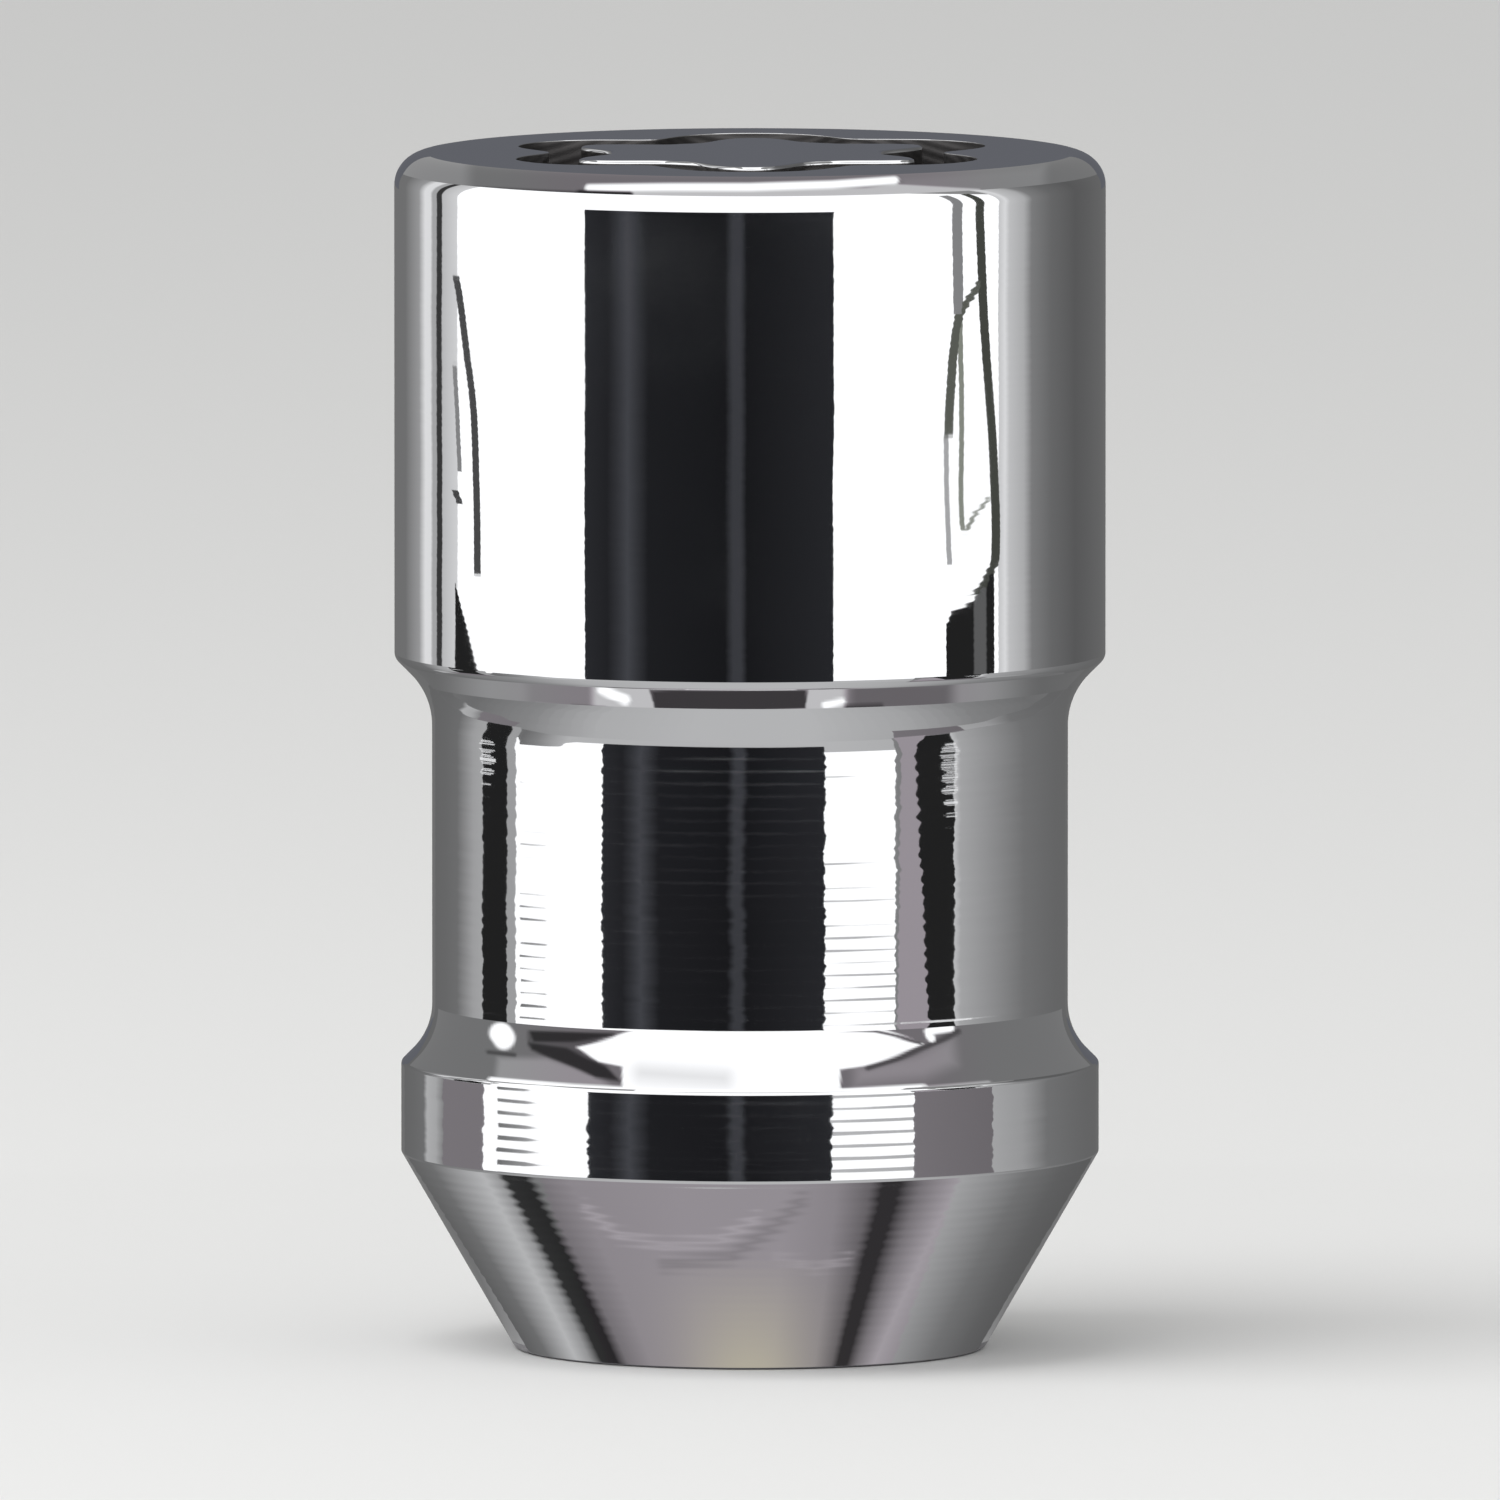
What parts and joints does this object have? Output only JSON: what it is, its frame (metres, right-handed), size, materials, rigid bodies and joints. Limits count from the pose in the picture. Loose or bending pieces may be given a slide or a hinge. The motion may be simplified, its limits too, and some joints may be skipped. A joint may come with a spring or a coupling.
{
  "type": "locking wheel nut",
  "caption": "Chromed locking wheel nut with a cone seat, collar, waisted neck and plain round head, turned by a key that fits a closed wavy groove in its end face.",
  "frame": {"origin": "centre of the seat end, where the nut stands", "axes": "+Z along the nut's axis from the seat end to the head"},
  "size_m": [0.0218, 0.0218, 0.0368],
  "materials": {
    "chrome": "bright chrome plate over turned steel"
  },
  "bodies": {
    "root": {"nut_body": "chrome"}
  },
  "joints": []
}
